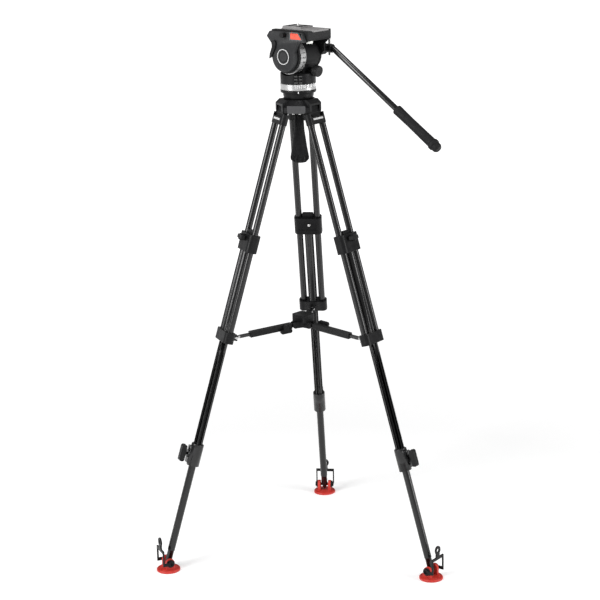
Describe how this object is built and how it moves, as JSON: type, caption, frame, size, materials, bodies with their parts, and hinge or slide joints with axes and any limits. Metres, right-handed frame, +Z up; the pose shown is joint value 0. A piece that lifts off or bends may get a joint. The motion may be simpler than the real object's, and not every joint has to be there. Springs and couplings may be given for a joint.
{
  "type": "tripod with fluid head",
  "caption": "Two-stage aluminium video tripod with a mid-level spreader, rubber feet, levelling bowl and a pan-and-tilt fluid head with sliding camera plate and pan bar.",
  "frame": {"origin": "on the floor under the centre of the whole tripod's box", "axes": "+Z up, -Y the way the lens points, +X the head's left cover"},
  "size_m": [0.7082, 0.6474, 1.3233],
  "materials": {
    "composite": "fine textured composite",
    "casting": "satin black paint on cast aluminium",
    "bright_metal": "bright turned aluminium",
    "steel": "plain turned steel",
    "level_glass": "clear level with a white ring",
    "red_plastic": "smooth red moulding",
    "black_tube": "black anodised tube",
    "grip_rubber": "matt moulded grip",
    "red_rubber": "moulded red rubber",
    "bail_plastic": "moulded black nylon"
  },
  "bodies": {
    "crown": {"crown": "casting", "crown_fasteners": "steel"},
    "ball": {"levelling_ball": "casting", "clamp_bolt": "steel", "clamp_cup": "casting"},
    "handle": {"bowl_clamp_handle": "casting"},
    "pan_ring": {"pan_drag_ring": "bright_metal"},
    "pan": {"pan_housing": "composite", "counterbalance_spring": "steel"},
    "pan_brake": {"pan_brake_lever": "composite"},
    "balance_knob": {"counterbalance_knob": "composite"},
    "tilt_ring": {"tilt_drag_ring": "bright_metal"},
    "tilt": {"tilt_body": "composite", "left_cover": "composite", "right_cover": "composite", "bubble_level": "level_glass", "tilt_axle": "steel"},
    "tilt_brake": {"tilt_brake_lever": "composite"},
    "plate_knob": {"plate_clamp_knob": "composite"},
    "release": {"release_lever": "red_plastic"},
    "plate": {"camera_plate": "bright_metal"},
    "screw": {"camera_screw": "steel"},
    "bar": {"bar_clamp": "composite", "pan_bar": "black_tube", "grip": "grip_rubber"},
    "bar_lock": {"bar_screw": "steel"},
    "hub": {"spreader_hub": "casting"},
    "leg_rear": {"leg_castings_rear": "casting", "upper_tubes_rear": "black_tube"},
    "mid_rear": {"slider_rear": "casting", "mid_tube_rear": "black_tube"},
    "lower_rear": {"lower_tube_rear": "black_tube"},
    "slider_lock_rear": {"slider_knob_rear": "casting"},
    "clamp_lock_rear": {"clamp_knob_rear": "casting"},
    "foot_rear": {"foot_rear": "red_rubber"},
    "bail_rear": {"bail_rear": "bail_plastic"},
    "arm_rear": {"spreader_arm_rear": "casting"},
    "arm_bar_rear": {"spreader_bar_rear": "bright_metal"},
    "leg_right": {"leg_castings_right": "casting", "upper_tubes_right": "black_tube"},
    "mid_right": {"slider_right": "casting", "mid_tube_right": "black_tube"},
    "lower_right": {"lower_tube_right": "black_tube"},
    "slider_lock_right": {"slider_knob_right": "casting"},
    "clamp_lock_right": {"clamp_knob_right": "casting"},
    "foot_right": {"foot_right": "red_rubber"},
    "bail_right": {"bail_right": "bail_plastic"},
    "arm_right": {"spreader_arm_right": "casting"},
    "arm_bar_right": {"spreader_bar_right": "bright_metal"},
    "leg_left": {"leg_castings_left": "casting", "upper_tubes_left": "black_tube"},
    "mid_left": {"slider_left": "casting", "mid_tube_left": "black_tube"},
    "lower_left": {"lower_tube_left": "black_tube"},
    "slider_lock_left": {"slider_knob_left": "casting"},
    "clamp_lock_left": {"clamp_knob_left": "casting"},
    "foot_left": {"foot_left": "red_rubber"},
    "bail_left": {"bail_left": "bail_plastic"},
    "arm_left": {"spreader_arm_left": "casting"},
    "arm_bar_left": {"spreader_bar_left": "bright_metal"}
  },
  "joints": [
    {"name": "ball_level", "type": "hinge", "parent": "crown", "child": "ball", "pos_m": [-0.01387, -0.07918, 1.16034], "axis": [1, 0, 0], "range_deg": [-8, 8]},
    {"name": "tie_down_turn", "type": "hinge", "parent": "ball", "child": "handle", "pos_m": [-0.01387, -0.07918, 1.16034], "axis": [0, 0, 1], "continuous": true},
    {"name": "pan_drag_turn", "type": "hinge", "parent": "ball", "child": "pan_ring", "pos_m": [-0.01387, -0.07918, 1.16034], "axis": [0, 0, 1], "range_deg": [0, 108]},
    {"name": "pan_turn", "type": "hinge", "parent": "ball", "child": "pan", "pos_m": [-0.01387, -0.07918, 1.16034], "axis": [0, 0, 1], "continuous": true},
    {"name": "pan_brake_turn", "type": "hinge", "parent": "pan", "child": "pan_brake", "pos_m": [-0.01387, -0.07918, 1.19594], "axis": [0.7431, 0.6691, 0], "range_deg": [0, 30]},
    {"name": "balance_turn", "type": "hinge", "parent": "pan", "child": "balance_knob", "pos_m": [-0.02587, -0.04518, 1.21584], "axis": [0, 0.9781, -0.2079], "range_deg": [0, 288]},
    {"name": "tilt_drag_turn", "type": "hinge", "parent": "pan", "child": "tilt_ring", "pos_m": [-0.01387, -0.07918, 1.24884], "axis": [1, 0, 0], "range_deg": [0, 108]},
    {"name": "tilt_turn", "type": "hinge", "parent": "pan", "child": "tilt", "pos_m": [-0.01387, -0.07918, 1.24884], "axis": [1, 0, 0], "range_deg": [-40, 75]},
    {"name": "tilt_brake_turn", "type": "hinge", "parent": "tilt", "child": "tilt_brake", "pos_m": [-0.01387, -0.10618, 1.27984], "axis": [1, 0, 0], "range_deg": [-30, 0]},
    {"name": "plate_lock_turn", "type": "hinge", "parent": "tilt", "child": "plate_knob", "pos_m": [-0.01387, -0.07518, 1.30084], "axis": [1, 0, 0], "range_deg": [-180, 180]},
    {"name": "release_swing", "type": "hinge", "parent": "tilt", "child": "release", "pos_m": [0.03363, -0.05318, 1.28784], "axis": [0, 0, 1], "range_deg": [-35, 0]},
    {"name": "plate_slide", "type": "slide", "parent": "tilt", "child": "plate", "axis": [0, 1, 0], "range_m": [-0.052, 0.052]},
    {"name": "camera_screw_turn", "type": "hinge", "parent": "plate", "child": "screw", "pos_m": [-0.01387, -0.07618, 1.30884], "axis": [0, 0, 1], "continuous": true},
    {"name": "bar_angle", "type": "hinge", "parent": "tilt", "child": "bar", "pos_m": [-0.01387, -0.04718, 1.26084], "axis": [1, 0, 0], "range_deg": [0, 60]},
    {"name": "bar_lock_turn", "type": "hinge", "parent": "bar", "child": "bar_lock", "pos_m": [-0.01387, -0.04718, 1.26084], "axis": [1, 0, 0], "continuous": true},
    {"name": "leg_fold_rear", "type": "hinge", "parent": "crown", "child": "leg_rear", "pos_m": [-0.0173, -0.03561, 1.11434], "axis": [-0.9969, -0.0785, 0], "range_deg": [0, 13]},
    {"name": "mid_slide_rear", "type": "slide", "parent": "leg_rear", "child": "mid_rear", "axis": [-0.0228, 0.2895, -0.9569], "range_m": [-0.25, 0.196]},
    {"name": "lower_slide_rear", "type": "slide", "parent": "mid_rear", "child": "lower_rear", "axis": [-0.0228, 0.2895, -0.9569], "range_m": [-0.185, 0.19]},
    {"name": "slider_lock_turn_rear", "type": "hinge", "parent": "mid_rear", "child": "slider_lock_rear", "pos_m": [-0.02441, 0.0547, 0.81578], "axis": [-0.0751, 0.954, 0.2904], "range_deg": [-90, 90]},
    {"name": "clamp_lock_turn_rear", "type": "hinge", "parent": "mid_rear", "child": "clamp_lock_rear", "pos_m": [-0.03694, 0.21391, 0.28948], "axis": [-0.0751, 0.954, 0.2904], "range_deg": [-90, 90]},
    {"name": "foot_tilt_rear", "type": "hinge", "parent": "lower_rear", "child": "foot_rear", "pos_m": [-0.04329, 0.29467, 0.0225], "axis": [-0.9969, -0.0785, 0], "range_deg": [-20, 20]},
    {"name": "bail_swing_rear", "type": "hinge", "parent": "foot_rear", "child": "bail_rear", "pos_m": [-0.04329, 0.29467, 0.0225], "axis": [-0.9969, -0.0785, 0], "range_deg": [0, 35]},
    {"name": "leg_fold_right", "type": "hinge", "parent": "crown", "child": "leg_right", "pos_m": [-0.04988, -0.10393, 1.11434], "axis": [0.5664, -0.8241, 0], "range_deg": [0, 13.01]},
    {"name": "mid_slide_right", "type": "slide", "parent": "leg_right", "child": "mid_right", "axis": [-0.2393, -0.1645, -0.9569], "range_m": [-0.25, 0.196]},
    {"name": "lower_slide_right", "type": "slide", "parent": "mid_right", "child": "lower_right", "axis": [-0.2393, -0.1645, -0.9569], "range_m": [-0.185, 0.19]},
    {"name": "slider_lock_turn_right", "type": "hinge", "parent": "mid_right", "child": "slider_lock_right", "pos_m": [-0.12455, -0.15525, 0.81578], "axis": [-0.7886, -0.542, 0.2904], "range_deg": [-90, 90]},
    {"name": "clamp_lock_turn_right", "type": "hinge", "parent": "mid_right", "child": "clamp_lock_right", "pos_m": [-0.25616, -0.2457, 0.28948], "axis": [-0.7886, -0.542, 0.2904], "range_deg": [-90, 90]},
    {"name": "foot_tilt_right", "type": "hinge", "parent": "lower_right", "child": "foot_right", "pos_m": [-0.32293, -0.29159, 0.0225], "axis": [0.5664, -0.8241, 0], "range_deg": [-20, 20]},
    {"name": "bail_swing_right", "type": "hinge", "parent": "foot_right", "child": "bail_right", "pos_m": [-0.32293, -0.29159, 0.0225], "axis": [0.5664, -0.8241, 0], "range_deg": [0, 35]},
    {"name": "leg_fold_left", "type": "hinge", "parent": "crown", "child": "leg_left", "pos_m": [0.02557, -0.09799, 1.11434], "axis": [0.4305, 0.9026, 0], "range_deg": [0, 13.01]},
    {"name": "mid_slide_left", "type": "slide", "parent": "leg_left", "child": "mid_left", "axis": [0.2621, -0.125, -0.9569], "range_m": [-0.25, 0.196]},
    {"name": "lower_slide_left", "type": "slide", "parent": "mid_left", "child": "lower_left", "axis": [0.2621, -0.125, -0.9569], "range_m": [-0.185, 0.19]},
    {"name": "slider_lock_turn_left", "type": "hinge", "parent": "mid_left", "child": "slider_lock_left", "pos_m": [0.10734, -0.137, 0.81578], "axis": [0.8637, -0.412, 0.2904], "range_deg": [-90, 90]},
    {"name": "clamp_lock_turn_left", "type": "hinge", "parent": "mid_left", "child": "clamp_lock_left", "pos_m": [0.25149, -0.20575, 0.28948], "axis": [0.8637, -0.412, 0.2904], "range_deg": [-90, 90]},
    {"name": "foot_tilt_left", "type": "hinge", "parent": "lower_left", "child": "foot_left", "pos_m": [0.32461, -0.24063, 0.0225], "axis": [0.4305, 0.9026, 0], "range_deg": [-20, 20]},
    {"name": "bail_swing_left", "type": "hinge", "parent": "foot_left", "child": "bail_left", "pos_m": [0.32461, -0.24063, 0.0225], "axis": [0.4305, 0.9026, 0], "range_deg": [0, 35]},
    {"name": "hub_rise", "type": "slide", "parent": "crown", "child": "hub", "axis": [0, 0, 1], "range_m": [0, 0.0955]},
    {"name": "arm_swing_rear", "type": "hinge", "parent": "hub", "child": "arm_rear", "pos_m": [-0.01575, -0.05525, 0.58483], "axis": [-0.9969, -0.0785, 0], "range_deg": [0, 84.64]},
    {"name": "arm_bar_slide_rear", "type": "slide", "parent": "arm_rear", "child": "arm_bar_rear", "axis": [-0.0782, 0.994, -0.0763], "range_m": [-0.0332, 0]},
    {"name": "arm_swing_right", "type": "hinge", "parent": "hub", "child": "arm_right", "pos_m": [-0.03365, -0.09277, 0.58483], "axis": [0.5664, -0.8241, 0], "range_deg": [0, 84.64]},
    {"name": "arm_bar_slide_right", "type": "slide", "parent": "arm_right", "child": "arm_bar_right", "axis": [-0.8217, -0.5648, -0.0763], "range_m": [-0.0332, 0]},
    {"name": "arm_swing_left", "type": "hinge", "parent": "hub", "child": "arm_left", "pos_m": [0.00779, -0.08951, 0.58483], "axis": [0.4305, 0.9026, 0], "range_deg": [0, 84.64]},
    {"name": "arm_bar_slide_left", "type": "slide", "parent": "arm_left", "child": "arm_bar_left", "axis": [0.9, -0.4293, -0.0763], "range_m": [-0.0332, 0]}
  ],
  "couplings": [
    {"joint": "leg_fold_right", "follows": "leg_fold_rear", "ratio": 1},
    {"joint": "leg_fold_left", "follows": "leg_fold_rear", "ratio": 1},
    {"joint": "hub_rise", "follows": "leg_fold_rear", "m_per_rad": 0.42002},
    {"joint": "arm_swing_rear", "follows": "leg_fold_rear", "ratio": 6.5096},
    {"joint": "arm_bar_slide_rear", "follows": "leg_fold_rear", "m_per_rad": -0.14544},
    {"joint": "arm_swing_right", "follows": "leg_fold_rear", "ratio": 6.5096},
    {"joint": "arm_bar_slide_right", "follows": "leg_fold_rear", "m_per_rad": -0.14544},
    {"joint": "arm_swing_left", "follows": "leg_fold_rear", "ratio": 6.5096},
    {"joint": "arm_bar_slide_left", "follows": "leg_fold_rear", "m_per_rad": -0.14544}
  ]
}
